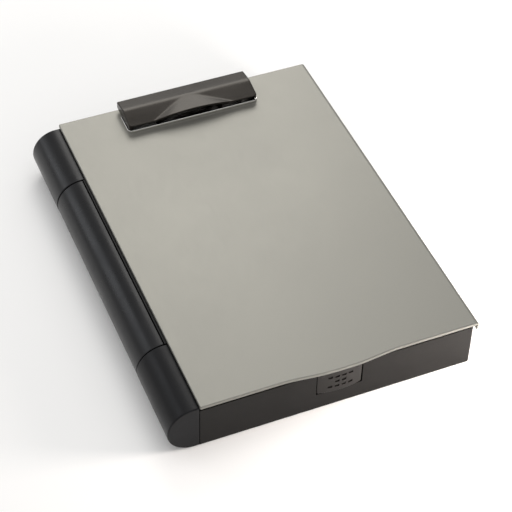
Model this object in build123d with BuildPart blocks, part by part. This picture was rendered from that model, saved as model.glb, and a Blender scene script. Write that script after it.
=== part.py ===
"""Storage clipboard: a shallow plastic box whose aluminium writing lid opens like a book.

Millimetres. +X towards the latch side wall, +Y towards the clip, +Z up from the table.
The origin lies on the table under the middle of the whole outline.
"""

from build123d import *
import os

os.makedirs("parts", exist_ok=True)

# Allowances: how far a cutting shape runs past a surface, and how close a picked edge must lie
past = 1.0
near = 0.01

# Lid: one sheet metal pan with turned-down lips
lid_x0 = -109.6
lid_x1 = 136.6
lid_y0 = -178.5
lid_y1 = 182.0
lid_top = 51.0
lid_sheet = 1.2
lip_bottom = 48.2
lid_under = lid_top - lid_sheet
lid_corner_r = 1.0
lid_edge_r = 0.7
roll_r = 3.5
roll_strip = 10.0
roll_bottom = 43.2
hem_t = 1.0
hem_top = 47.0
hem_r = 0.6
bulge_depth = 3.5
bulge_half = 46.0
bulge_flat_half = 15.0
bulge_blend_r = 150.0

# Spine: fixed ends and a turning barrel on one axis
axis_x = -113.6
axis_z = 24.0
end_r = 23.0
barrel_r = 22.8
barrel_wall = 2.2
seam_front = -103.0
seam_rear = 107.0
half_seam = 0.5
end_wall = 2.5
pin_r = 2.0
pin_bore_r = 2.05
pin_boss_r = 4.4
pin_boss_len = 16.0
pin_reach = 14.0
pin_head_r = 3.4
pin_head_h = 1.5
pin_chamfer = 0.5
seam_edge_r = 0.7
end_edge_r = 1.2
front_face_y = seam_front - half_seam
rear_face_y = seam_rear + half_seam

# Tray
tray_x0 = -109.1
tray_x1 = 133.7
latch_x = (tray_x0 + tray_x1) / 2
tray_y0 = -176.0
tray_y1 = 180.0
rear_end_y = 181.0
pad_h = 1.0
floor_t = 2.0
wall_t = 2.0
wall_top = 49.3
low_top = 47.0
low_width = 5.0
ledge_z = 43.4
ledge_t = 2.0
rim_step = 2.2
rim_t = 1.2
rim_gap_half = 26.6
tray_corner_r = 2.0
tray_base_r = 1.0
tray_inside_r = 1.5
floor_top = pad_h + floor_t
channel_r = 23.5
channel_outer_r = 25.5
channel_top = 44.5
pad_r = 7.0
pad_edge_r = 0.4
pad_spots = [(-97.0, -162.0), (121.0, -162.0), (-97.0, 166.0), (121.0, 166.0)]

# Screws
screw_r = 1.5
pilot_r = 1.55
clear_r = 1.7
head_r = 3.0
head_h = 2.0
head_round = 0.9
head_clear = 0.4
recess_len = 3.2
recess_w = 0.8
recess_deep = 1.1
boss_r = 4.0
front_screw_y = [-160.0, -132.0]
rear_screw_y = [137.0, 165.0]
end_screw_len = 14.0

# Hinge leaf inside the barrel
leaf_y0 = seam_front + half_seam
leaf_y1 = seam_rear - half_seam
leaf_screw_y = [-62.0, 2.0, 66.0]
slot_x0 = -112.4
slot_z = 40.8
rib_x0 = -111.2
rib_top = 47.2
leaf_boss_z = 26.0
leaf_boss_r = 4.0
leaf_x0 = -118.1
leaf_gap = 0.2
leaf_z0 = 41.0
leaf_z1 = 43.2
leaf_step_x = -106.0
leaf_tip = 13.2
leaf_tip_back = 11.8
leaf_tip_up = 0.8
flange_x0 = -108.2
flange_x1 = -80.6
flange_z0 = 47.6
barrel_end = 3.0
barrel_screw_seat = 22.0
barrel_screw_len = 16.0
screw_tube_r = 5.2

# Push button and its guide
button_half = 19.9
button_z0 = 19.5
button_z1 = 46.2
button_face_y = -178.0
button_edge_y = -175.6
button_skin = 2.2
button_gap = 0.8
button_back_y = -171.0
button_corner_r = 1.5
window_corner_r = 0.9
button_edge_r = 0.5
hook_notch_half = 13.0
hook_notch = 1.5
tab_half = 22.0
tab_root = 0.5
tab_z0 = 24.0
tab_z1 = 40.0
tab_gap = 0.4
tab_t = 2.0
arm_half = 16.5
arm_w = 3.0
catch_y0 = -163.9
catch_y1 = -160.9
catch_z0 = 39.0
catch_z1 = 42.0
grip_deep = 0.8
grip_w = 4.0
grip_h = 2.6
grip_rows = [(37.0, (-9.0, -3.0, 3.0, 9.0)), (31.4, (-3.0, 3.0)), (25.8, (-9.0, -3.0, 3.0, 9.0))]
spring_z = 29.0
spring_coil_r = 3.4
spring_wire_r = 0.4
spring_pitch = 2.4
spring_turns = 7
guide_post_r = 2.4
guide_post_y = -168.0

# Latch hook
hook_half = 8.0
hook_flange_half = 12.0
hook_flange_front = 5.0
hook_flange_back = 10.0
hook_flange_t = 1.5
hook_gusset = 3.0
barb_low = 1.6
barb_high = 2.6
hook_y0 = -168.0
hook_y1 = -166.0
barb_y = -164.3
hook_z0 = 36.0
housing_half = 22.6
housing_wall = 2.0
housing_y0 = -173.5
housing_y1 = -155.5
housing_base_z = 8.0
ear_half = 34.0
ear_screw_x = 29.0
ear_screw_y = -165.0
seat_y = housing_y1 - housing_wall
shelf_len = 3.5
screw_end_gap = 0.5
housing_screw_spots = [(latch_x - ear_screw_x, ear_screw_y), (latch_x + ear_screw_x, ear_screw_y)]

# Clip
mid_x = 9.9
clip_half = 62.9
axle_back = 6.5
axle_up = 5.5
axle_r = 1.5
axle_run_r = 1.55
axle_fix_r = 1.52
axle_head_r = 2.4
axle_head_t = 1.0
axle_end = 0.6
jaw_gap = 0.3
jaw_t = 1.2
jaw_half = 63.9
jaw_back = 12.8
jaw_front = 35.9
jaw_corner_r = 4.0
jaw_rim_w = 0.8
jaw_rim_h = 0.9
jaw_rim_r = 0.35
jaw_ear_x = 54.0
jaw_ear_r = 3.4
jaw_ear_front = 22.0
base_half = 53.0
base_t = 1.0
base_ear_x = 51.5
base_ear_r = 3.3
base_ear_back = 1.2
base_front_gap = 0.5
base_back = 1.5
cover_back = 0.8
cover_back_low = 4.5
cover_back_up = 10.0
cover_front = 36.0
cover_front_up = 8.3
cover_t = 1.6
roof_t = 1.65
cover_corner_r = 3.0
ridge_back = 16.0
ridge_up = 12.3
ridge_r = 8.0
skirt_back = 3.3
skirt_up = 3.2
# thumb lip sections: distance from the back edge, half width, side, top and floor heights
flare_outside = [(15.0, 6.0, 11.9, 12.2, 9.0), (36.0, 38.6, 8.2, 12.0, 7.0)]
flare_inside = [(17.0, 6.0, 10.0, 10.3, 8.0), (37.0, 37.4, 6.4, 10.4, 3.0)]
post_spots_x = [-30.0, 30.0]
post_back = 24.0
post_r = 2.5
post_len = 8.0
rivet_r = 2.0
rivet_hole_r = 2.1
rivet_head_r = 3.2
rivet_head_h = 1.0
rivet_head_round = 0.7
rivet_back = 8.5
rivet_spots = [(mid_x - 38.0, lid_y1 - rivet_back), (mid_x + 38.0, lid_y1 - rivet_back)]
torsion_x = [-27.0, 20.0]
torsion_r = 2.6
torsion_wire_r = 0.45
torsion_pitch = 1.15
torsion_turns = 6.25
spring_bend_r = 0.6
spring_bend = 0.3
spring_leg_back = 21.0
spring_leg_up = 2.3
spring_seat = 0.1


def at_y(y):
    """Upright plane across the box; an extrusion from it runs towards -Y."""
    return Plane.XZ.offset(-y)


def at_x(x):
    """Upright plane along the box; an extrusion from it runs towards +X."""
    return Plane.YZ.offset(x)


def clip_point(back, up):
    """Point on an at_x plane, measured from the lid's back edge and its top."""
    return (lid_y1 - back, lid_top + up)


def box_outline(x0, x1, y0, y1, mode=Mode.ADD):
    """Rectangle given by its limits on the sketch plane."""
    with Locations((x0, y0)):
        Rectangle(x1 - x0, y1 - y0, align=(Align.MIN, Align.MIN), mode=mode)


def end_outline(radius):
    """D-shaped section of a spine end, flat side against the tray wall."""
    with Locations((axis_x, axis_z)):
        Circle(radius)
    box_outline(axis_x, tray_x0, axis_z - radius, axis_z + radius)
    box_outline(tray_x0, axis_x + radius, axis_z - radius, axis_z + radius, Mode.SUBTRACT)


def arched_outline(centre, half, radius, limits):
    """Strip of a disc about its centre, cut to the given limits along the second sketch axis."""
    with Locations(centre):
        Circle(radius)
    box_outline(centre[0] - half, centre[0] + half, *limits, Mode.INTERSECT)


def cross_outline():
    """Cross recess of a screw head, at the current location."""
    Rectangle(recess_len, recess_w)
    Rectangle(recess_w, recess_len)


def lid_outline():
    """Plan of the lid up to its rolled side, with the shallow bulge over the button."""
    side_x = lid_x1 - roll_strip / 2
    with BuildSketch() as plan:
        Polygon(
            (lid_x0, lid_y0),
            (latch_x - bulge_half, lid_y0),
            (latch_x - bulge_flat_half, lid_y0 - bulge_depth),
            (latch_x + bulge_flat_half, lid_y0 - bulge_depth),
            (latch_x + bulge_half, lid_y0),
            (side_x, lid_y0),
            (side_x, lid_y1),
            (lid_x0, lid_y1),
            align=None,
        )
        fillet([v for v in plan.vertices() if abs(v.X - latch_x) < bulge_half + past], bulge_blend_r)
        fillet(plan.vertices().sort_by(Axis.X)[:2], lid_corner_r)
    return plan.sketch


# Tray: floor, walls, hinge channel, screw bosses and four low pads
with BuildPart() as tray_shell:
    with BuildSketch(Plane.XY.offset(pad_h)):
        box_outline(tray_x0, tray_x1, tray_y0, tray_y1)
    extrude(amount=wall_top - pad_h)
    fillet(tray_shell.edges().filter_by(Axis.Z).sort_by(Axis.X)[-2:], tray_corner_r)
    base_edges = tray_shell.faces().sort_by(Axis.Z)[0].outer_wire().edges()
    fillet(base_edges.sort_by(Axis.X)[1:], tray_base_r)
    # a ledge all round under the lid's lip, with a thin rim rising from its inner edge
    with BuildSketch(Plane.XY.offset(ledge_z)):
        box_outline(tray_x0, tray_x1, tray_y0, tray_y1)
        box_outline(tray_x0, tray_x1 - rim_step, tray_y0 + rim_step, tray_y1 - rim_step, Mode.SUBTRACT)
    extrude(amount=wall_top - ledge_z, mode=Mode.SUBTRACT)
    with BuildSketch(Plane.XY.offset(floor_top)):
        box_outline(tray_x0 + wall_t, tray_x1 - wall_t, tray_y0 + wall_t, tray_y1 - wall_t)
    extrude(amount=ledge_z - ledge_t - floor_top, mode=Mode.SUBTRACT)
    rim_in = rim_step + rim_t
    with BuildSketch(Plane.XY.offset(ledge_z - ledge_t)):
        box_outline(tray_x0 + wall_t, tray_x1 - rim_in, tray_y0 + rim_in, tray_y1 - rim_in)
    extrude(amount=wall_top, mode=Mode.SUBTRACT)
    inside_edges = tray_shell.edges().filter_by_position(Axis.Z, floor_top - near, floor_top + near)
    fillet(inside_edges, tray_inside_r)
    with BuildSketch(at_y(seam_rear + wall_t)):
        with Locations((axis_x, axis_z)):
            Circle(channel_outer_r)
        box_outline(tray_x0, axis_x + channel_outer_r, pad_h, low_top, Mode.INTERSECT)
    extrude(amount=seam_rear - seam_front + 2 * wall_t)
    with BuildSketch(at_y(seam_rear)):
        with Locations((axis_x, axis_z)):
            Circle(channel_r)
        box_outline(axis_x, axis_x + channel_outer_r, channel_top, lid_top)
    extrude(amount=seam_rear - seam_front, mode=Mode.SUBTRACT)
    # the walls beside the hinge stay below the lid's left lip
    with BuildSketch(Plane.XY.offset(low_top)):
        box_outline(tray_x0, tray_x0 + low_width, tray_y0, tray_y1)
    extrude(amount=lid_top - low_top, mode=Mode.SUBTRACT)
    # window for the push button, open at the top; the rim stops on both sides of the latch
    with BuildSketch(Plane.XY.offset(ledge_z - ledge_t)):
        box_outline(latch_x - rim_gap_half, latch_x + rim_gap_half, tray_y0 + wall_t, tray_y0 + rim_in)
    extrude(amount=wall_top, mode=Mode.SUBTRACT)
    with BuildSketch(at_y(tray_y0 + wall_t)) as tray_window:
        box_outline(
            latch_x - button_half - button_gap,
            latch_x + button_half + button_gap,
            button_z0 - button_gap,
            lid_top,
        )
        low_corners = tray_window.vertices().sort_by(Axis.Y)[:2]
        fillet(low_corners, window_corner_r)
    extrude(amount=wall_t, mode=Mode.SUBTRACT)
    # holes for the screws of the spine ends
    with BuildSketch(at_x(tray_x0)):
        with Locations([(y, axis_z) for y in front_screw_y + rear_screw_y]):
            Circle(clear_r)
    extrude(amount=wall_t, mode=Mode.SUBTRACT)
    # bosses under the latch housing
    with BuildSketch(Plane.XY.offset(floor_top)):
        with Locations(housing_screw_spots):
            Circle(boss_r)
            Circle(pilot_r, mode=Mode.SUBTRACT)
    extrude(amount=housing_base_z - floor_top)
    with BuildSketch(Plane.XY):
        with Locations(pad_spots):
            Circle(pad_r)
    extrude(amount=pad_h)
    fillet(tray_shell.faces().sort_by(Axis.Z)[:4].edges(), pad_edge_r)
tray_shell.part.label = "tray_shell"
export_step(tray_shell.part, "parts/tray_shell.step")

# Spine ends: D-shaped caps, hollow towards the tray, each with a pin boss and two screw bosses
ends = [
    ("front_knuckle", tray_y0, front_face_y, tray_y0, front_face_y, front_screw_y),
    ("rear_knuckle", rear_face_y, rear_end_y, rear_end_y, rear_face_y + pin_boss_len, rear_screw_y),
]
for label, low_y, high_y, end_y, boss_high_y, screw_y in ends:
    with BuildPart() as knuckle:
        with BuildSketch(at_y(high_y)):
            end_outline(end_r)
        extrude(amount=high_y - low_y)
        rims = knuckle.edges().filter_by(GeomType.CIRCLE)
        fillet([e for e in rims if abs(e.center().Y - end_y) > past], seam_edge_r)
        outer_face = knuckle.faces().filter_by(Axis.Y).sort_by(lambda f: abs(f.center().Y - end_y))[0]
        fillet(outer_face.outer_wire().edges(), end_edge_r)
        with BuildSketch(at_y(high_y - end_wall)):
            end_outline(end_r - end_wall)
        extrude(amount=high_y - low_y - 2 * end_wall, mode=Mode.SUBTRACT)
        with BuildSketch(at_y(boss_high_y)):
            with Locations((axis_x, axis_z)):
                Circle(pin_boss_r)
        extrude(amount=pin_boss_len)
        with BuildSketch(at_x(axis_x - end_r + seam_edge_r)):
            with Locations([(y, axis_z) for y in screw_y]):
                Circle(boss_r)
        extrude(amount=tray_x0 - axis_x + end_r - seam_edge_r)
        with BuildSketch(at_x(tray_x0 - end_screw_len)):
            with Locations([(y, axis_z) for y in screw_y]):
                Circle(pilot_r)
        extrude(amount=end_screw_len, mode=Mode.SUBTRACT)
        with BuildSketch(at_y(boss_high_y)):
            with Locations((axis_x, axis_z)):
                Circle(pin_bore_r)
        extrude(amount=pin_boss_len, mode=Mode.SUBTRACT)
    knuckle.part.label = label
    export_step(knuckle.part, f"parts/{label}.step")

# Screws through the tray wall into the spine ends
with BuildPart() as knuckle_screws:
    with BuildSketch(at_x(tray_x0 + wall_t)):
        with Locations([(y, axis_z) for y in front_screw_y + rear_screw_y]):
            Circle(head_r)
    extrude(amount=head_h)
    head_rims = knuckle_screws.edges().filter_by(GeomType.CIRCLE).sort_by(Axis.X)
    fillet(head_rims[-len(front_screw_y + rear_screw_y) :], head_round)
    with BuildSketch(at_x(tray_x0 + wall_t + head_h - recess_deep)):
        with Locations([(y, axis_z) for y in front_screw_y + rear_screw_y]):
            cross_outline()
    extrude(amount=recess_deep, mode=Mode.SUBTRACT)
    with BuildSketch(at_x(tray_x0 + wall_t)):
        with Locations([(y, axis_z) for y in front_screw_y + rear_screw_y]):
            Circle(screw_r)
    extrude(amount=-end_screw_len)
knuckle_screws.part.label = "knuckle_screws"
export_step(knuckle_screws.part, "parts/knuckle_screws.step")

# Hinge pins: a head inside the spine end, the shank in both bores
front_head_y = front_face_y - pin_boss_len
rear_head_y = rear_face_y + pin_boss_len + pin_head_h
pins = [
    ("front_hinge_pin", front_face_y - pin_boss_len, front_face_y + pin_reach, front_head_y),
    ("rear_hinge_pin", rear_face_y - pin_reach, rear_face_y + pin_boss_len, rear_head_y),
]
for label, low_y, high_y, head_high_y in pins:
    with BuildPart() as hinge_pin:
        with BuildSketch(at_y(high_y)):
            with Locations((axis_x, axis_z)):
                Circle(pin_r)
        extrude(amount=high_y - low_y)
        chamfer(hinge_pin.edges().filter_by(GeomType.CIRCLE), pin_chamfer)
        with BuildSketch(at_y(head_high_y)):
            with Locations((axis_x, axis_z)):
                Circle(pin_head_r)
        extrude(amount=pin_head_h)
    hinge_pin.part.label = label
    export_step(hinge_pin.part, f"parts/{label}.step")

# Barrel: a tube with thick ends for the pins, slotted at the top for the hinge leaf
with BuildPart() as spine_barrel:
    with BuildSketch(at_y(leaf_y1)):
        with Locations((axis_x, axis_z)):
            Circle(barrel_r)
    extrude(amount=leaf_y1 - leaf_y0)
    fillet(spine_barrel.edges().filter_by(GeomType.CIRCLE), seam_edge_r)
    with BuildSketch(at_y(leaf_y1 - barrel_end)):
        with Locations((axis_x, axis_z)):
            Circle(barrel_r - barrel_wall)
    extrude(amount=leaf_y1 - leaf_y0 - 2 * barrel_end, mode=Mode.SUBTRACT)
    for high_y in (leaf_y0 + pin_boss_len, leaf_y1):
        with BuildSketch(at_y(high_y)):
            with Locations((axis_x, axis_z)):
                Circle(pin_boss_r)
        extrude(amount=pin_boss_len)
    with BuildSketch(Plane.XY.offset(axis_z - barrel_r + barrel_wall / 2)):
        with Locations([(axis_x, y) for y in leaf_screw_y]):
            Circle(screw_tube_r)
    extrude(amount=leaf_boss_z - axis_z + barrel_r - barrel_wall / 2)
    with BuildSketch(Plane.XY):
        with Locations([(axis_x, y) for y in leaf_screw_y]):
            Circle(head_r + head_clear)
    extrude(amount=barrel_screw_seat, mode=Mode.SUBTRACT)
    with BuildSketch(Plane.XY.offset(barrel_screw_seat)):
        with Locations([(axis_x, y) for y in leaf_screw_y]):
            Circle(clear_r)
    extrude(amount=leaf_boss_z - barrel_screw_seat, mode=Mode.SUBTRACT)
    with BuildSketch(at_y(leaf_y1)):
        with Locations((axis_x, axis_z)):
            Circle(pin_bore_r)
    extrude(amount=leaf_y1 - leaf_y0, mode=Mode.SUBTRACT)
    with BuildSketch(at_y(leaf_y1)):
        box_outline(slot_x0, axis_x + channel_r, slot_z, lid_top)
        box_outline(leaf_x0 - leaf_gap, slot_x0, slot_z, leaf_z1 + leaf_gap)
    extrude(amount=leaf_y1 - leaf_y0, mode=Mode.SUBTRACT)
spine_barrel.part.label = "spine_barrel"
export_step(spine_barrel.part, "parts/spine_barrel.step")

# Hinge leaf: flange bonded under the lid, rib beside the lip, plate and bosses inside the barrel
with BuildPart() as hinge_leaf:
    with BuildSketch(at_y(leaf_y1)):
        with BuildLine():
            Polyline(
                (leaf_x0, leaf_z0),
                (axis_x + leaf_tip, leaf_z0),
                (axis_x + leaf_tip, leaf_z0 + leaf_tip_up),
                (axis_x + leaf_tip_back, leaf_z1),
                (leaf_step_x, leaf_z1),
                (leaf_step_x, flange_z0),
                (flange_x1, flange_z0),
                (flange_x1, lid_under),
                (flange_x0, lid_under),
                (flange_x0, rib_top),
                (rib_x0, rib_top),
                (rib_x0, leaf_z1),
                (leaf_x0, leaf_z1),
                close=True,
            )
        make_face()
    extrude(amount=leaf_y1 - leaf_y0)
    with BuildSketch(Plane.XY.offset(leaf_boss_z)):
        with Locations([(axis_x, y) for y in leaf_screw_y]):
            Circle(leaf_boss_r)
    extrude(amount=leaf_z1 - leaf_boss_z)
    with BuildSketch(Plane.XY.offset(leaf_boss_z)):
        with Locations([(axis_x, y) for y in leaf_screw_y]):
            Circle(pilot_r)
    extrude(amount=leaf_z0 - leaf_boss_z, mode=Mode.SUBTRACT)
hinge_leaf.part.label = "hinge_leaf"
export_step(hinge_leaf.part, "parts/hinge_leaf.step")

# Screws from below the barrel into the leaf
with BuildPart() as barrel_screws:
    with BuildSketch(Plane.XY.offset(barrel_screw_seat - head_h)):
        with Locations([(axis_x, y) for y in leaf_screw_y]):
            Circle(head_r)
    extrude(amount=head_h)
    head_rims = barrel_screws.edges().filter_by(GeomType.CIRCLE).sort_by(Axis.Z)
    fillet(head_rims[: len(leaf_screw_y)], head_round)
    with BuildSketch(Plane.XY.offset(barrel_screw_seat - head_h)):
        with Locations([(axis_x, y) for y in leaf_screw_y]):
            cross_outline()
    extrude(amount=recess_deep, mode=Mode.SUBTRACT)
    with BuildSketch(Plane.XY.offset(barrel_screw_seat)):
        with Locations([(axis_x, y) for y in leaf_screw_y]):
            Circle(screw_r)
    extrude(amount=barrel_screw_len)
barrel_screws.part.label = "barrel_screws"
export_step(barrel_screws.part, "parts/barrel_screws.step")

# Lid panel: flat sheet with a short lip; the side away from the spine is rolled down and hemmed
with BuildPart() as lid_panel:
    with BuildSketch(Plane.XY.offset(lip_bottom)):
        add(lid_outline())
    extrude(amount=lid_top - lip_bottom)
    with BuildSketch(at_y(lid_y1)) as roll:
        box_outline(lid_x1 - roll_strip, lid_x1, roll_bottom, lid_top)
        fillet(roll.vertices().sort_by(Axis.Y)[:2].sort_by(Axis.X)[-1], hem_r)
        fillet(roll.vertices().sort_by(Axis.Y)[-2:].sort_by(Axis.X)[-1], roll_r)
    extrude(amount=lid_y1 - lid_y0)
    top_edges = lid_panel.faces().sort_by(Axis.Z)[-1].outer_wire().edges()
    fillet([e for e in top_edges if e.center().X < lid_x1 - roll_r - lid_sheet], lid_edge_r)
    with BuildSketch(Plane.XY.offset(lip_bottom)):
        add(lid_outline())
        offset(amount=-lid_sheet, mode=Mode.REPLACE)
    extrude(amount=lid_under - lip_bottom, mode=Mode.SUBTRACT)
    with BuildSketch(at_y(lid_y1 - lid_sheet)) as roll_inside:
        box_outline(lid_x1 - roll_strip, lid_x1 - lid_sheet, roll_bottom, lid_under)
        fillet(roll_inside.vertices().sort_by(Axis.Y)[-2:].sort_by(Axis.X)[-1], roll_r - lid_sheet)
    extrude(amount=lid_y1 - lid_y0 - 2 * lid_sheet, mode=Mode.SUBTRACT)
    with BuildSketch(at_y(lid_y1)):
        box_outline(lid_x1 - roll_strip, lid_x1 - lid_sheet, roll_bottom, lip_bottom)
    extrude(amount=lid_y1 - lid_y0, mode=Mode.SUBTRACT)
    with BuildSketch(at_y(lid_y1)):
        box_outline(lid_x1 - lid_sheet - hem_t, lid_x1 - lid_sheet, roll_bottom, hem_top)
    extrude(amount=lid_y1 - lid_y0)
    with BuildSketch(Plane.XY.offset(lid_under)):
        with Locations(rivet_spots):
            Circle(rivet_hole_r)
    extrude(amount=lid_sheet, mode=Mode.SUBTRACT)
lid_panel.part.label = "lid_panel"
export_step(lid_panel.part, "parts/lid_panel.step")

# Latch hook under the lid: flange, stem and a barb that points away from the button
with BuildPart() as latch_hook:
    with BuildSketch(Plane.XY.offset(lid_under - hook_flange_t)):
        flange_y0 = hook_y0 - hook_flange_front
        flange_y1 = hook_y0 + hook_flange_back
        box_outline(latch_x - hook_flange_half, latch_x + hook_flange_half, flange_y0, flange_y1)
    extrude(amount=hook_flange_t)
    with BuildSketch(at_x(latch_x - hook_half)):
        with BuildLine():
            Polyline(
                (hook_y0, lid_under - hook_flange_t),
                (hook_y0, hook_z0),
                (hook_y1, hook_z0),
                (barb_y, hook_z0 + barb_low),
                (barb_y, hook_z0 + barb_high),
                (hook_y1, hook_z0 + barb_high),
                (hook_y1, lid_under - hook_flange_t - hook_gusset),
                (hook_y1 + hook_gusset, lid_under - hook_flange_t),
                close=True,
            )
        make_face()
    extrude(amount=2 * hook_half)
latch_hook.part.label = "latch_hook"
export_step(latch_hook.part, "parts/latch_hook.step")

# Push button: curved face with sunk grip bars, skirts, retaining tabs and a catch behind the hook
face_sagitta = button_edge_y - button_face_y
face_r = (button_half**2 + face_sagitta**2) / (2 * face_sagitta)
face_centre = (latch_x, button_face_y + face_r)
with BuildPart() as push_button:
    with BuildSketch(Plane.XY.offset(button_z0)):
        arched_outline(face_centre, button_half, face_r, (button_face_y, button_back_y))
    extrude(amount=button_z1 - button_z0)
    fillet(push_button.edges().filter_by(Axis.Y).sort_by(Axis.Z)[:2], button_corner_r)
    front_edges = push_button.faces().sort_by(Axis.Y)[0].outer_wire().edges()
    fillet(front_edges, button_edge_r)
    with BuildSketch(Plane.XY.offset(button_z0 + button_skin)):
        hollow_half = button_half - button_skin
        arched_outline(face_centre, hollow_half, face_r - button_skin, (button_face_y, button_back_y))
    extrude(amount=button_z1 - button_z0 - 2 * button_skin, mode=Mode.SUBTRACT)
    with BuildSketch(Plane.XY.offset(button_z1 - button_skin)):
        notch_y0 = button_back_y - hook_notch
        box_outline(latch_x - hook_notch_half, latch_x + hook_notch_half, notch_y0, button_back_y)
    extrude(amount=button_skin, mode=Mode.SUBTRACT)
    for bar_z, bar_spots in grip_rows:
        with BuildSketch(Plane.XY.offset(bar_z - grip_h / 2)):
            with Locations([(latch_x + bar_x, button_face_y) for bar_x in bar_spots]):
                Rectangle(grip_w, 2 * face_sagitta)
            with Locations(face_centre):
                Circle(face_r - grip_deep, mode=Mode.SUBTRACT)
        extrude(amount=grip_h, mode=Mode.SUBTRACT)
    for side in (-1, 1):
        with BuildSketch(Plane.XY.offset(tab_z0)):
            tab_x = sorted([latch_x + side * (button_half - tab_root), latch_x + side * tab_half])
            tab_y0 = tray_y0 + wall_t + tab_gap
            box_outline(tab_x[0], tab_x[1], tab_y0, tab_y0 + tab_t)
        extrude(amount=tab_z1 - tab_z0)
        with BuildSketch(Plane.XY.offset(catch_z0)):
            arm_x = sorted([latch_x + side * (arm_half - arm_w), latch_x + side * arm_half])
            box_outline(arm_x[0], arm_x[1], button_face_y + button_skin / 2, catch_y1)
        extrude(amount=catch_z1 - catch_z0)
    with BuildSketch(Plane.XY.offset(catch_z0)):
        box_outline(latch_x - arm_half, latch_x + arm_half, catch_y0, catch_y1)
    extrude(amount=catch_z1 - catch_z0)
    with BuildSketch(at_y(guide_post_y)):
        with Locations((latch_x, spring_z)):
            Circle(guide_post_r)
    extrude(amount=guide_post_y - button_face_y - button_skin / 2)
push_button.part.label = "push_button"
export_step(push_button.part, "parts/push_button.step")

# Return spring between the button and the back of its housing
spring_y0 = button_face_y + button_skin + spring_wire_r
with BuildPart() as button_spring:
    with BuildLine() as coil:
        Helix(
            pitch=spring_pitch,
            height=spring_pitch * spring_turns,
            radius=spring_coil_r,
            center=(latch_x, spring_y0, spring_z),
            direction=(0, 1, 0),
        )
    with BuildSketch(Plane(origin=coil.line @ 0, z_dir=coil.line % 0)):
        Circle(spring_wire_r)
    sweep(path=coil.line, is_frenet=True)
button_spring.part.label = "button_spring"
export_step(button_spring.part, "parts/button_spring.step")

# Housing that guides the button from inside the tray
with BuildPart() as latch_housing:
    with BuildSketch(Plane.XY.offset(housing_base_z)):
        box_outline(latch_x - ear_half, latch_x + ear_half, housing_y0, housing_y1)
        with Locations(housing_screw_spots):
            Circle(clear_r, mode=Mode.SUBTRACT)
    extrude(amount=housing_wall)
    with BuildSketch(Plane.XY.offset(housing_base_z + housing_wall)):
        outer_half = housing_half + housing_wall
        box_outline(latch_x - outer_half, latch_x + outer_half, housing_y0, housing_y1)
        box_outline(latch_x - housing_half, latch_x + housing_half, housing_y0, seat_y, Mode.SUBTRACT)
    extrude(amount=button_z1 - housing_base_z - housing_wall)
    with BuildSketch(Plane.XY.offset(button_z0 - button_gap - housing_wall)):
        box_outline(latch_x - housing_half, latch_x + housing_half, housing_y0, button_back_y + shelf_len)
    extrude(amount=housing_wall)
latch_housing.part.label = "latch_housing"
export_step(latch_housing.part, "parts/latch_housing.step")

# Screws that hold the housing on the tray floor
with BuildPart() as latch_housing_screws:
    with BuildSketch(Plane.XY.offset(housing_base_z + housing_wall)):
        with Locations(housing_screw_spots):
            Circle(head_r)
    extrude(amount=head_h)
    head_rims = latch_housing_screws.edges().filter_by(GeomType.CIRCLE).sort_by(Axis.Z)
    fillet(head_rims[-2:], head_round)
    with BuildSketch(Plane.XY.offset(housing_base_z + housing_wall + head_h - recess_deep)):
        with Locations(housing_screw_spots):
            cross_outline()
    extrude(amount=recess_deep, mode=Mode.SUBTRACT)
    with BuildSketch(Plane.XY.offset(housing_base_z + housing_wall)):
        with Locations(housing_screw_spots):
            Circle(screw_r)
    extrude(amount=-(housing_base_z + housing_wall - floor_top - screw_end_gap))
latch_housing_screws.part.label = "latch_housing_screws"
export_step(latch_housing_screws.part, "parts/latch_housing_screws.step")

# Clip base: plate on the lid with two ears for the axle
with BuildPart() as clip_base:
    with BuildSketch(Plane.XY.offset(lid_top)):
        base_y0 = lid_y1 - jaw_back + base_front_gap
        box_outline(mid_x - base_half, mid_x + base_half, base_y0, lid_y1 - base_back)
        with Locations(rivet_spots):
            Circle(rivet_hole_r, mode=Mode.SUBTRACT)
    extrude(amount=base_t)
    for ear_x in (mid_x - base_ear_x - base_t, mid_x + base_ear_x):
        with BuildSketch(at_x(ear_x)):
            with Locations(clip_point(axle_back, axle_up)):
                Circle(base_ear_r)
            ear_y = lid_y1 - axle_back
            box_outline(ear_y - base_ear_r, ear_y + base_ear_back, lid_top, lid_top + axle_up)
            with Locations(clip_point(axle_back, axle_up)):
                Circle(axle_fix_r, mode=Mode.SUBTRACT)
        extrude(amount=base_t)
clip_base.part.label = "clip_base"
export_step(clip_base.part, "parts/clip_base.step")

# Rivets through the base plate and the lid
with BuildPart() as clip_rivets:
    with BuildSketch(Plane.XY.offset(lid_under)):
        with Locations(rivet_spots):
            Circle(rivet_r)
    extrude(amount=lid_sheet + base_t)
    with BuildSketch(Plane.XY.offset(lid_top + base_t)):
        with Locations(rivet_spots):
            Circle(rivet_head_r)
    extrude(amount=rivet_head_h)
    with BuildSketch(Plane.XY.offset(lid_under)):
        with Locations(rivet_spots):
            Circle(rivet_head_r)
    extrude(amount=-rivet_head_h)
    head_rims = clip_rivets.edges().filter_by(GeomType.CIRCLE).sort_by(Axis.Z)
    fillet(head_rims[:2] + head_rims[-2:], rivet_head_round)
clip_rivets.part.label = "clip_rivets"
export_step(clip_rivets.part, "parts/clip_rivets.step")

# Axle with a small head at each end
axle_half = jaw_ear_x + jaw_t + axle_end
with BuildPart() as clip_axle:
    with BuildSketch(at_x(mid_x - axle_half)):
        with Locations(clip_point(axle_back, axle_up)):
            Circle(axle_r)
    extrude(amount=2 * axle_half)
    for head_x in (mid_x - axle_half - axle_head_t, mid_x + axle_half):
        with BuildSketch(at_x(head_x)):
            with Locations(clip_point(axle_back, axle_up)):
                Circle(axle_head_r)
        extrude(amount=axle_head_t)
clip_axle.part.label = "clip_axle"
export_step(clip_axle.part, "parts/clip_axle.step")

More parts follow.
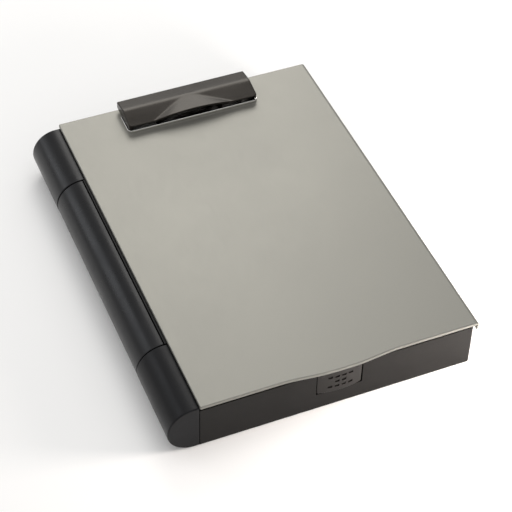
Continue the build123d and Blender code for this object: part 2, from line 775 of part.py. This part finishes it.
# Torsion springs on the axle, one leg down to the base plate, one leg forward over the jaw
axle_y, axle_z = clip_point(axle_back, axle_up)
front_leg = Vector(0, axle_back - spring_leg_back, spring_leg_up - axle_up - torsion_r)
back_leg = Vector(0, 0, base_t + spring_seat - axle_up)
with BuildPart() as clip_springs:
    for spring_x in torsion_x:
        coil_start = (mid_x + spring_x, axle_y, axle_z)
        with BuildLine() as torsion:
            Helix(
                pitch=torsion_pitch,
                height=torsion_pitch * torsion_turns,
                radius=torsion_r,
                center=coil_start,
                direction=(1, 0, 0),
            )
        winding = torsion.line.rotate(Axis(coil_start, (1, 0, 0)), -90)
        with BuildSketch(Plane(origin=winding @ 0, z_dir=winding % 0)):
            Circle(torsion_wire_r)
        sweep(path=winding, is_frenet=True)
        with Locations(winding @ 0, winding @ 1):
            Sphere(spring_bend_r)
        for leg_start, leg in ((winding @ 0, back_leg), (winding @ 1, front_leg)):
            with BuildSketch(Plane(origin=leg_start + leg.normalized() * spring_bend, z_dir=leg)):
                Circle(torsion_wire_r)
            extrude(amount=leg.length - spring_bend)
clip_springs.part.label = "clip_springs"
export_step(clip_springs.part, "parts/clip_springs.step")

# Jaw: steel plate on the paper with a raised rim and two ears back to the axle
jaw_top = jaw_gap + jaw_t
with BuildPart() as clip_jaw:
    with BuildSketch(Plane.XY.offset(lid_top + jaw_gap)) as jaw_plan:
        box_outline(mid_x - jaw_half, mid_x + jaw_half, lid_y1 - jaw_front, lid_y1 - jaw_back)
        fillet(jaw_plan.vertices().sort_by(Axis.Y)[:2], jaw_corner_r)
    extrude(amount=jaw_t + jaw_rim_h)
    with BuildSketch(Plane.XY.offset(lid_top + jaw_top)) as jaw_bed:
        bed_half = jaw_half - jaw_rim_w
        bed_y0 = lid_y1 - jaw_front + jaw_rim_w
        box_outline(mid_x - bed_half, mid_x + bed_half, bed_y0, lid_y1)
        fillet(jaw_bed.vertices().sort_by(Axis.Y)[:2], jaw_corner_r - jaw_rim_w)
    extrude(amount=jaw_rim_h, mode=Mode.SUBTRACT)
    rim_edges = clip_jaw.faces().sort_by(Axis.Z)[-1].edges().sort_by(SortBy.LENGTH)
    fillet(rim_edges[2:], jaw_rim_r)
    for ear_x in (mid_x - jaw_ear_x - jaw_t, mid_x + jaw_ear_x):
        with BuildSketch(at_x(ear_x)):
            with BuildLine():
                Polyline(
                    clip_point(axle_back, axle_up + jaw_ear_r),
                    clip_point(jaw_ear_front, axle_up),
                    clip_point(jaw_ear_front, jaw_gap + jaw_t / 2),
                    clip_point(jaw_back, jaw_gap + jaw_t / 2),
                    clip_point(axle_back, axle_up - jaw_ear_r),
                    close=True,
                )
            make_face()
            with Locations(clip_point(axle_back, axle_up)):
                Circle(jaw_ear_r)
                Circle(axle_run_r, mode=Mode.SUBTRACT)
        extrude(amount=jaw_t)
clip_jaw.part.label = "clip_jaw"
export_step(clip_jaw.part, "parts/clip_jaw.step")

# Cover: shallow roof over the jaw, open in front, with the arched thumb lip in the middle
roof_fall = (ridge_up - cover_front_up) / (cover_front - ridge_back)
outside = [
    (cover_back, cover_back_low),
    (cover_back, cover_back_up),
    (ridge_back, ridge_up),
    (cover_front, cover_front_up),
    (cover_front, skirt_up),
    (skirt_back, skirt_up),
]
inside = [
    (cover_back + cover_t, 0.0),
    (cover_back + cover_t, cover_back_up - roof_t),
    (ridge_back, ridge_up - roof_t),
    (cover_front + past, cover_front_up - roof_t - roof_fall * past),
    (cover_front + past, 0.0),
]
with BuildPart() as clip_cover:
    with BuildSketch(at_x(mid_x - clip_half)) as profile:
        Polygon(*[clip_point(*point) for point in outside], align=None)
        fillet(profile.vertices().sort_by(Axis.Y)[-1], ridge_r)
    extrude(amount=2 * clip_half)
    fillet(clip_cover.edges().filter_by(Axis.Z).sort_by(Axis.Y)[:2], cover_corner_r)
    for back, half, side_up, top_up, floor_up in flare_outside:
        with BuildSketch(at_y(lid_y1 - back)):
            rise_r = (half**2 + (top_up - side_up) ** 2) / (2 * (top_up - side_up))
            heights = (lid_top + floor_up, lid_top + top_up + past)
            arched_outline((mid_x, lid_top + top_up - rise_r), half, rise_r, heights)
    loft(ruled=True)
    with BuildSketch(at_x(mid_x - clip_half + cover_t)):
        Polygon(*[clip_point(*point) for point in inside], align=None)
    extrude(amount=2 * (clip_half - cover_t), mode=Mode.SUBTRACT)
    for back, half, side_up, top_up, floor_up in flare_inside:
        with BuildSketch(at_y(lid_y1 - back)):
            rise_r = (half**2 + (top_up - side_up) ** 2) / (2 * (top_up - side_up))
            heights = (lid_top + floor_up, lid_top + top_up + past)
            arched_outline((mid_x, lid_top + top_up - rise_r), half, rise_r, heights)
    loft(ruled=True, mode=Mode.SUBTRACT)
    with BuildSketch(Plane.XY.offset(lid_top + jaw_gap + jaw_t)):
        with Locations([(mid_x + x, lid_y1 - post_back) for x in post_spots_x]):
            Circle(post_r)
    extrude(amount=post_len)
clip_cover.part.label = "clip_cover"
export_step(clip_cover.part, "parts/clip_cover.step")
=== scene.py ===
import math

import bmesh
import bpy
from mathutils import Matrix, Vector


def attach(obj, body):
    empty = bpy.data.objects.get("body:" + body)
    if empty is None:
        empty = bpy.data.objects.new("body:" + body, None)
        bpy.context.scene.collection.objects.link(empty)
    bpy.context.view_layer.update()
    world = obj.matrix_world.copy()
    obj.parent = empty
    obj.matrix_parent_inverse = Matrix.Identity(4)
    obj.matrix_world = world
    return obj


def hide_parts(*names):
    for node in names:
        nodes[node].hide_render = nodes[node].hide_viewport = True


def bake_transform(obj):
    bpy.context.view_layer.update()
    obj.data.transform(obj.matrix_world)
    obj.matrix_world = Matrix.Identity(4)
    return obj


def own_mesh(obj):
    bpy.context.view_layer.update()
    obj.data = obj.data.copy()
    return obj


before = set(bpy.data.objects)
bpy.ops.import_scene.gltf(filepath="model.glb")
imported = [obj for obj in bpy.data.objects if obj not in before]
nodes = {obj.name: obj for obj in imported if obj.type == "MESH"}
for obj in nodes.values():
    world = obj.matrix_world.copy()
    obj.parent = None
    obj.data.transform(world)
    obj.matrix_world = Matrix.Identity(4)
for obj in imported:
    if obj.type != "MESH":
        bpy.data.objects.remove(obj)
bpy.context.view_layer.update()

MM = 0.001
scene = bpy.context.scene


def add_object(name, data):
    """A new object of the scene, from a mesh, light or camera."""
    obj = bpy.data.objects.new(name, data)
    scene.collection.objects.link(obj)
    return obj


def add_mesh(name, bm, mat):
    """Turns a bmesh into an object of the scene, with one material."""
    mesh = bpy.data.meshes.new(name)
    bm.to_mesh(mesh)
    bm.free()
    mesh.materials.append(mat)
    return add_object(name, mesh)


# ---------------------------------------------------------------- materials

class Shade:
    """A node material built step by step on a Principled shader, in object coordinates."""

    def __init__(self, name, **sockets):
        self.mat = bpy.data.materials.new(name)
        self.mat.use_nodes = True
        self.tree = self.mat.node_tree
        self.bsdf = self.tree.nodes["Principled BSDF"]
        for key, value in sockets.items():
            self.bsdf.inputs[key.replace("_", " ")].default_value = value
        self.coords = self.tree.nodes.new("ShaderNodeTexCoord").outputs["Object"]

    def node(self, kind, **props):
        n = self.tree.nodes.new(kind)
        for key, value in props.items():
            setattr(n, key, value)
        return n

    def link(self, a, b):
        self.tree.links.new(a, b)

    def scaled(self, x, y, z):
        m = self.node("ShaderNodeMapping")
        m.inputs["Scale"].default_value = (x, y, z)
        self.link(self.coords, m.inputs["Vector"])
        return m.outputs["Vector"]

    def noise(self, scale, detail=2.0, rough=0.5, vector=None):
        n = self.node("ShaderNodeTexNoise")
        n.inputs["Scale"].default_value = scale
        n.inputs["Detail"].default_value = detail
        n.inputs["Roughness"].default_value = rough
        self.link(vector or self.coords, n.inputs["Vector"])
        return n.outputs["Fac"]

    def grains(self, scale):
        n = self.node("ShaderNodeTexVoronoi")
        n.inputs["Scale"].default_value = scale
        self.link(self.coords, n.inputs["Vector"])
        return n.outputs["Distance"]

    def span(self, value, low, high, start=0.3, stop=0.7):
        m = self.node("ShaderNodeMapRange")
        for key, v in (("From Min", start), ("From Max", stop), ("To Min", low), ("To Max", high)):
            m.inputs[key].default_value = v
        self.link(value, m.inputs["Value"])
        return m.outputs["Result"]

    def math(self, op, a, b):
        m = self.node("ShaderNodeMath", operation=op)
        for i, v in enumerate((a, b)):
            if isinstance(v, (int, float)):
                m.inputs[i].default_value = v
            else:
                self.link(v, m.inputs[i])
        return m.outputs[0]

    def tint(self, value, colours, start=0.3, stop=0.7):
        r = self.node("ShaderNodeValToRGB")
        r.color_ramp.elements[0].position = start
        r.color_ramp.elements[1].position = stop
        for e, c in zip(r.color_ramp.elements, colours):
            e.color = (*c, 1.0)
        self.link(value, r.inputs["Fac"])
        return r.outputs["Color"]

    def base(self, colour):
        self.link(colour, self.bsdf.inputs["Base Color"])

    def roughness(self, value):
        self.link(value, self.bsdf.inputs["Roughness"])

    def soft_edges(self, radius):
        """Rounds edges in the shading and returns a mask of where they are."""
        b = self.node("ShaderNodeBevel", samples=4)
        b.inputs["Radius"].default_value = radius
        self.link(b.outputs["Normal"], self.bsdf.inputs["Normal"])
        dot = self.node("ShaderNodeVectorMath", operation="DOT_PRODUCT")
        self.link(b.outputs["Normal"], dot.inputs[0])
        self.link(self.node("ShaderNodeNewGeometry").outputs["Normal"], dot.inputs[1])
        return self.span(dot.outputs["Value"], 1.0, 0.0, 0.80, 0.995)

    def wear_and_edge_highlight(self, colour, edge, bare_and_highlit):
        """Mixes the bare colour in along edges, broken up by noise: partly edge wear, partly a painted
        highlight.
        """
        patches = self.span(self.noise(240.0, 4.0, 0.6), 0.0, 1.0, 0.40, 0.62)
        return self.mixed(self.math("MULTIPLY", edge, patches), colour, bare_and_highlit)

    def mixed(self, mask, colour, other):
        """The colour where the mask is 0, and the other one where it is 1."""
        m = self.node("ShaderNodeMix", data_type="RGBA")
        self.link(mask, m.inputs[0])
        self.link(colour, m.inputs[6])
        m.inputs[7].default_value = (*other, 1.0)
        return m.outputs[2]

    def openness(self, reach):
        """1 on open surfaces, falling towards 0 where others stand within reach."""
        ao = self.node("ShaderNodeAmbientOcclusion", samples=8)
        ao.inputs["Distance"].default_value = reach
        return ao.outputs["AO"]

    def painted_gap_shade(self, reach, ior):
        """Painted shade: lets the reflection fade out in narrow gaps and recesses, where little light
        gets in.
        """
        self.link(self.span(self.openness(reach), 1.02, ior, 0.30, 0.62), self.bsdf.inputs["IOR"])

    def painted_crevice_shade(self, colour, reach, dark):
        """Mixes a dark tone in where a surface is closed in: painted shade."""
        return self.mixed(self.span(self.openness(reach), 1.0, 0.0, 0.12, 0.42), colour, dark)

    def bump(self, height, strength, distance):
        b = self.node("ShaderNodeBump")
        b.inputs["Strength"].default_value = strength
        b.inputs["Distance"].default_value = distance
        self.link(height, b.inputs["Height"])
        previous = self.bsdf.inputs["Normal"].links
        if previous:
            self.link(previous[0].from_socket, b.inputs["Normal"])
        self.link(b.outputs["Normal"], self.bsdf.inputs["Normal"])


WHITE = (1.0, 1.0, 1.0)
WARM_GREY = (1.0, 0.96, 0.93)
COOL_GREY = (0.97, 0.98, 1.0)


def plastic(
    name, dark, light, rough, grain=2600.0, grain_depth=0.00002, gloss=0.35, ior=1.38, sheen=WHITE
):
    """Moulded plastic: spark-eroded grain, slow tone drift, edges lightened partly as handling wear and
    partly as a painted highlight.
    """
    s = Shade(name, Specular_IOR_Level=gloss, IOR=ior, Specular_Tint=(*sheen, 1.0))
    edge = s.soft_edges(0.0004)
    # Painted shade: less reflection in gaps and recesses.
    s.painted_gap_shade(0.006, ior)
    drift = s.noise(14.0, 3.0)
    fine = s.noise(900.0, 2.0)
    mixed = s.math("ADD", s.math("MULTIPLY", drift, 0.7), s.math("MULTIPLY", fine, 0.3))
    tone = s.tint(mixed, (dark, light))
    # Lighter edges: partly handling wear, partly a painted highlight.
    s.base(s.wear_and_edge_highlight(tone, edge, tuple(3.0 * c for c in light)))
    s.roughness(s.span(s.noise(30.0, 4.0, 0.6), rough - 0.05, rough + 0.05))
    s.bump(s.grains(grain), 0.35, grain_depth)
    s.bump(s.noise(60.0, 2.0), 0.05, 0.0001)
    return s.mat


def steel(name, dark, light, rough, along=(1, 1, 1), streak=700.0):
    """Plated or drawn steel with fine streaks along one direction."""
    s = Shade(name, Metallic=1.0)
    edge = s.soft_edges(0.0002)
    lines = s.noise(streak, 3.0, 0.6, s.scaled(*along))
    bare_and_highlit = tuple(min(1.15 * c, 1.0) for c in light)
    # Lighter edges: partly wear, partly a painted highlight.
    tone = s.wear_and_edge_highlight(s.tint(s.noise(45.0, 3.0), (dark, light)), edge, bare_and_highlit)
    # Painted shade: darker colour where the steel is closed in by other parts.
    s.base(s.painted_crevice_shade(tone, 0.012, (0.02, 0.019, 0.018)))
    s.roughness(s.span(lines, rough - 0.06, rough + 0.08))
    s.bump(lines, 0.15, 0.00001)
    return s.mat


def satin_aluminium(name):
    """Lacquered sheet: slow tone drift, rolled grain along the length, fine speckle."""
    s = Shade(name, Metallic=0.9, Coat_Weight=0.15, Coat_Roughness=0.3)
    edge = s.soft_edges(0.0003)
    roll = s.noise(900.0, 3.0, 0.6, s.scaled(1.0, 0.06, 1.0))
    drift = s.noise(9.0, 3.0, 0.55)
    speckle = s.noise(2600.0, 1.0)
    fine = s.math("ADD", roll, speckle)
    mixed = s.math("ADD", s.math("MULTIPLY", drift, 0.5), s.math("MULTIPLY", fine, 0.25))
    tone = s.tint(mixed, ((0.250, 0.246, 0.222), (0.284, 0.279, 0.254)))
    # Lighter edges: partly wear, partly a painted highlight.
    s.base(s.wear_and_edge_highlight(tone, edge, (0.36, 0.355, 0.33)))
    wear = s.math("ADD", s.math("MULTIPLY", roll, 0.5), s.math("MULTIPLY", drift, 0.5))
    s.roughness(s.span(wear, 0.44, 0.54))
    s.bump(roll, 0.08, 0.00001)
    s.bump(speckle, 0.12, 0.000008)
    return s.mat


m_tray = plastic(
    "tray_black", (0.0060, 0.0055, 0.0052), (0.0090, 0.0082, 0.0077), 0.46,
    gloss=0.30, ior=1.36, sheen=WARM_GREY,
)
m_spine = plastic(
    "spine_black", (0.0055, 0.0055, 0.0064), (0.0080, 0.0080, 0.0092), 0.30,
    grain=3200.0, grain_depth=0.000010, gloss=0.42, ior=1.40, sheen=COOL_GREY,
)
# A darker, less glossy copy of the spine plastic, used for the front knuckle only: painted shade on the
# front end.
m_front_knuckle_shaded = plastic(
    "front_knuckle_shaded_black", (0.0050, 0.0050, 0.0058), (0.0075, 0.0075, 0.0086), 0.32,
    grain=3000.0, grain_depth=0.000012, gloss=0.34, ior=1.37, sheen=COOL_GREY,
)
m_button = plastic(
    "button_black", (0.0075, 0.0068, 0.0063), (0.0110, 0.0098, 0.0090), 0.40,
    gloss=0.42, ior=1.40, sheen=(1.0, 0.94, 0.90),
)
m_clip = plastic(
    "clip_black", (0.0080, 0.0062, 0.0050), (0.0115, 0.0090, 0.0072), 0.22,
    grain=3600.0, grain_depth=0.000004, gloss=0.40, ior=1.50, sheen=(1.0, 0.94, 0.86),
)
m_hidden = plastic("moulded_black", (0.016, 0.016, 0.016), (0.024, 0.024, 0.024), 0.42)
m_lid = satin_aluminium("lid_aluminium")
m_jaw = steel("jaw_nickel", (0.86, 0.85, 0.83), (0.93, 0.92, 0.90), 0.13, (0.08, 1.0, 1.0))
m_zinc = steel("zinc_steel", (0.50, 0.50, 0.52), (0.60, 0.60, 0.61), 0.32)
m_pin = steel("ground_steel", (0.52, 0.52, 0.53), (0.60, 0.60, 0.60), 0.26, (1.0, 0.05, 1.0))
m_spring = steel("spring_steel", (0.36, 0.36, 0.37), (0.46, 0.46, 0.47), 0.30)

finish = {
    "tray_shell": m_tray,
    "front_knuckle": m_front_knuckle_shaded,
    "rear_knuckle": m_spine,
    "spine_barrel": m_spine,
    "hinge_leaf": m_hidden,
    "latch_housing": m_hidden,
    "latch_hook": m_hidden,
    "push_button": m_button,
    "lid_panel": m_lid,
    "clip_cover": m_clip,
    "clip_jaw": m_jaw,
    "clip_base": m_zinc,
    "clip_rivets": m_zinc,
    "knuckle_screws": m_zinc,
    "latch_housing_screws": m_zinc,
    "barrel_screws": m_zinc,
    "front_hinge_pin": m_pin,
    "rear_hinge_pin": m_pin,
    "clip_axle": m_pin,
    "clip_springs": m_spring,
    "button_spring": m_spring,
}
for name, mat in finish.items():
    slots = nodes[name].material_slots
    if not slots:
        nodes[name].data.materials.append(mat)
    for s in nodes[name].material_slots:
        s.material = mat

# ---------------------------------------------------------------- clip cover

# The first three are places in metres. The others are in millimetres: x from the clip's middle,
# back from the lid's rear edge towards the front, and up from the lid's face.
cover_x = 0.0099
lid_back = 0.182
lid_face = 0.051
cover_half = 62.9
cover_back = 0.8
cover_front = 36.0
cover_edge_r = 1.1
cover_corner_r = 3.0
cover_wall = 1.6
wall_drops = 8
roof_steps = 150
length_steps = 96
edge_turns = (18, 36, 54, 72, 90)
ridge_back = 16.0
rear_foot = 10.0
rear_slope = 2.3 / 15.2
front_foot = 12.42
front_slope = 0.206
ridge_soft = 0.30
roof_drop = 0.08
lip_back = 14.0
lip_run = 22.0
lip_soft = 0.16
lip_half = (5.0, 38.6)
lip_top = (12.09, 12.04)
lip_rise = (0.2, 3.85)
skirt_up = 3.2
skirt_back = 3.3
rear_skirt_up = 4.5
rear_skirt_slope = 0.52
toe_run = 1.4
toe_curl = 1.4
post_x = 30.0
post_back = 24.0
post_rings = ((9.5, 2.5), (2.1, 2.5), (1.75, 2.4), (1.6, 2.15))
post_sides = 32


def cover_point(x, back, up):
    """A point of the closed cover, from millimetres to the frame."""
    return (cover_x + x * MM, lid_back - back * MM, lid_face + up * MM)


def soft_meet(a, b, soft):
    """Soft maximum of two heights, or soft minimum when soft is negative."""
    return soft * math.log(math.exp(a / soft) + math.exp(b / soft))


def roof_height(x, back):
    """Height over the lid: two facets with a rounded ridge, and the arched thumb lip blended in."""
    rear = rear_foot + (back - cover_back) * rear_slope
    front = front_foot - (back - ridge_back) * front_slope
    roof = soft_meet(rear, front, -ridge_soft) - roof_drop
    t = (back - lip_back) / lip_run
    if t <= 0.0:
        return roof
    half, top, rise = (a + (b - a) * t for a, b in (lip_half, lip_top, lip_rise))
    bow = (half * half + rise * rise) / (2.0 * rise)
    lip = top - (bow - math.sqrt(max(bow * bow - x * x, 0.0)))
    if lip < roof - 12.0 * lip_soft:
        return roof
    return soft_meet(roof, lip, lip_soft)


def skirt_height(back):
    """Lower edge of the side walls: raised at the rear, and turned up a little at the toe."""
    low = skirt_up if back > skirt_back else rear_skirt_up - (back - cover_back) * rear_skirt_slope
    return low + max(back - (cover_front - toe_run), 0.0) ** 2 * toe_curl


def cover_row(bm, back):
    """One line of vertices across the cover: up the left wall, over the roof, down the right wall."""
    past = max(back - (cover_front - cover_corner_r), 0.0)
    wide = cover_half - cover_corner_r + math.sqrt(max(cover_corner_r**2 - past**2, 0.0))
    flat = wide - cover_edge_r
    low = skirt_height(back)
    sides = []
    for side in (-1, 1):
        end = roof_height(side * flat, back)
        arc = []
        for a in (math.radians(turn) for turn in edge_turns):
            out = side * (flat + cover_edge_r * math.sin(a))
            arc.append((out, end - cover_edge_r * (1 - math.cos(a))))
        out, foot = arc[-1]
        wall = [(out, foot + (low - foot) * k / wall_drops) for k in range(1, wall_drops + 1)]
        sides.append(arc + wall)
    left, right = sides
    spans = (i / roof_steps * 2.0 - 1.0 for i in range(roof_steps + 1))
    roof = [(u * flat, roof_height(u * flat, back)) for u in spans]
    return [bm.verts.new(cover_point(x, back, up)) for x, up in left[::-1] + roof + right]


def rounded(obj, name, width, segments, angle):
    """Rounds every edge that is sharper than the angle in degrees."""
    bevel = obj.modifiers.new(name, "BEVEL")
    bevel.limit_method = "ANGLE"
    bevel.angle_limit = math.radians(angle)
    bevel.width = width
    bevel.segments = segments


def clip_cover():
    """The cover as a smooth shell: roof, side walls and back wall, given its thickness by a modifier."""
    bm = bmesh.new()
    step = (cover_front - cover_back) / length_steps
    rows = [cover_row(bm, cover_back + step * i) for i in range(length_steps + 1)]
    for a, b in zip(rows, rows[1:]):
        for k in range(len(a) - 1):
            bm.faces.new((a[k], b[k], b[k + 1], a[k + 1]))
    top = rows[0][wall_drops:-wall_drops]
    level = top
    for k in range(1, wall_drops + 1):
        under = []
        for v in top:
            x = (v.co.x - cover_x) / MM
            up = (v.co.z - lid_face) / MM
            fallen = up + (rear_skirt_up - up) * k / wall_drops
            under.append(bm.verts.new(cover_point(x, cover_back, fallen)))
        for i in range(len(level) - 1):
            bm.faces.new((level[i], level[i + 1], under[i + 1], under[i]))
        level = under
    bmesh.ops.remove_doubles(bm, verts=bm.verts, dist=0.00001)
    bmesh.ops.recalc_face_normals(bm, faces=bm.faces)
    obj = add_mesh("clip_cover_shell", bm, m_clip)
    obj.data.polygons.foreach_set("use_smooth", [True] * len(obj.data.polygons))
    rounded(obj, "edges", 0.8 * MM, 4, 35)
    shell = obj.modifiers.new("wall", "SOLIDIFY")
    shell.thickness = cover_wall * MM
    shell.offset = -1.0
    shell.use_even_offset = True
    rounded(obj, "rim", 0.3 * MM, 3, 40)
    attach(obj, "clip")
    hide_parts("clip_cover")


def cover_posts():
    """The two locating posts moulded under the cover's roof, each with a rounded lower end."""
    bm = bmesh.new()
    for side in (-1, 1):
        rings = []
        for up, r in post_rings:
            ring = []
            for a in (math.tau * k / post_sides for k in range(post_sides)):
                spot = cover_point(side * post_x + r * math.cos(a), post_back - r * math.sin(a), up)
                ring.append(bm.verts.new(spot))
            rings.append(ring)
        for a, b in zip(rings, rings[1:]):
            for k in range(post_sides):
                after = (k + 1) % post_sides
                bm.faces.new((a[k], a[after], b[after], b[k]))
        bm.faces.new(rings[-1])
        bm.faces.new(rings[0][::-1])
    bmesh.ops.recalc_face_normals(bm, faces=bm.faces)
    obj = add_mesh("clip_cover_posts", bm, m_clip)
    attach(obj, "clip")
    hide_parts("clip_cover")


clip_cover()
cover_posts()

# ---------------------------------------------------------------- copies of the springs

def live_copy(node, mat):
    """A copy of a spring's mesh with the given material, in place of the imported node, which is hidden.
    """
    mesh = nodes[node].data.copy()
    mesh.transform(nodes[node].matrix_world)
    mesh.materials.clear()
    mesh.materials.append(mat)
    obj = add_object(node + "_live", mesh)
    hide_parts(node)
    return obj


def springs():
    """Copies the button's coil, attached to the tray, and the clip's torsion springs, fixed in place."""
    coil = live_copy("button_spring", m_spring)
    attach(coil, "tray")
    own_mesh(coil)
    torsion = live_copy("clip_springs", m_spring)
    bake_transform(torsion)


springs()

# ---------------------------------------------------------------- floor, light, camera

def floor():
    """Pale paper under the object."""
    s = Shade("floor_paper", Roughness=0.9, Specular_IOR_Level=0.1)
    s.base(s.tint(s.noise(3.0, 2.0), ((0.90, 0.90, 0.90), (0.92, 0.92, 0.92))))
    s.bsdf.inputs["Emission Color"].default_value = (*WHITE, 1.0)
    s.bsdf.inputs["Emission Strength"].default_value = 0.06
    bm = bmesh.new()
    bmesh.ops.create_grid(bm, x_segments=2, y_segments=2, size=4.0)
    obj = add_mesh("floor", bm, s.mat)
    return obj


def panel(name, place, aim, size, radiance, colour=WHITE):
    """Softbox of the given width and height in metres, facing aim."""
    data = bpy.data.lights.new(name, "AREA")
    data.shape = "RECTANGLE"
    data.size, data.size_y = size
    data.energy = radiance * math.pi * size[0] * size[1]
    data.color = colour
    obj = add_object(name, data)
    obj.location = place
    obj.rotation_euler = (Vector(aim) - Vector(place)).to_track_quat("-Z", "Y").to_euler()
    obj.visible_camera = False
    return obj


camera_target = Vector((0.01408, 0.00438, 0.001))
camera_distance = 1.51396
camera_angles = (-23.589, 45.451, 1.571)
camera_lens = 119.33


def camera():
    """Looks at the target from the given azimuth and elevation, with a slight roll."""
    azimuth, elevation, roll = (math.radians(a) for a in camera_angles)
    level = Vector((math.sin(azimuth), -math.cos(azimuth), 0.0))
    back = level * math.cos(elevation) + Vector((0.0, 0.0, math.sin(elevation)))
    right = Vector((math.cos(azimuth), math.sin(azimuth), 0.0))
    up = back.cross(right)
    turned_right = right * math.cos(roll) + up * math.sin(roll)
    turned_up = up * math.cos(roll) - right * math.sin(roll)
    data = bpy.data.cameras.new("camera")
    data.sensor_width = 36.0
    data.lens = camera_lens
    data.clip_end = 20.0
    obj = add_object("camera", data)
    turn = Matrix((turned_right, turned_up, back)).transposed().to_4x4()
    obj.matrix_world = Matrix.Translation(camera_target + back * camera_distance) @ turn
    scene.camera = obj


def studio_world():
    """Even, slightly warm surroundings."""
    world = bpy.data.worlds.new("studio")
    world.use_nodes = True
    surroundings = world.node_tree.nodes["Background"]
    surroundings.inputs["Color"].default_value = (1.0, 0.99, 0.975, 1.0)
    surroundings.inputs["Strength"].default_value = 0.56
    scene.world = world


def keep_to(light, *lit):
    """Lets a light reach only these objects."""
    group = bpy.data.collections.new("lit_by_" + light.name)
    for obj in lit:
        group.objects.link(obj)
    light.light_linking.receiver_collection = group


WARM_WHITE = (1.0, 0.98, 0.94)
ground = floor()
camera()
studio_world()
panel("key", (0.42, 1.26, 1.30), (-0.03, 0.04, 0.05), (0.7, 0.7), 3.6, WARM_WHITE)
panel("horizon", (0.55, 1.65, 0.98), (0.0, 0.1, 0.05), (1.3, 0.34), 2.4, WARM_WHITE)
panel("top", (0.1, 0.2, 2.6), (0.0, 0.0, 0.0), (2.6, 2.0), 1.0)
panel("strip_left", (-1.05, 1.10, 0.80), (-0.11, 0.0, 0.03), (0.35, 0.9), 2.0, (0.93, 0.96, 1.0))
low_right = panel(
    "low_right", (0.31, -0.32, 0.16), (0.15, -0.20, 0.0), (0.15, 0.15), 36.0, (1.0, 0.92, 0.86)
)
keep_to(low_right, ground, nodes["tray_shell"], nodes["push_button"])
scene.view_settings.view_transform = "Standard"
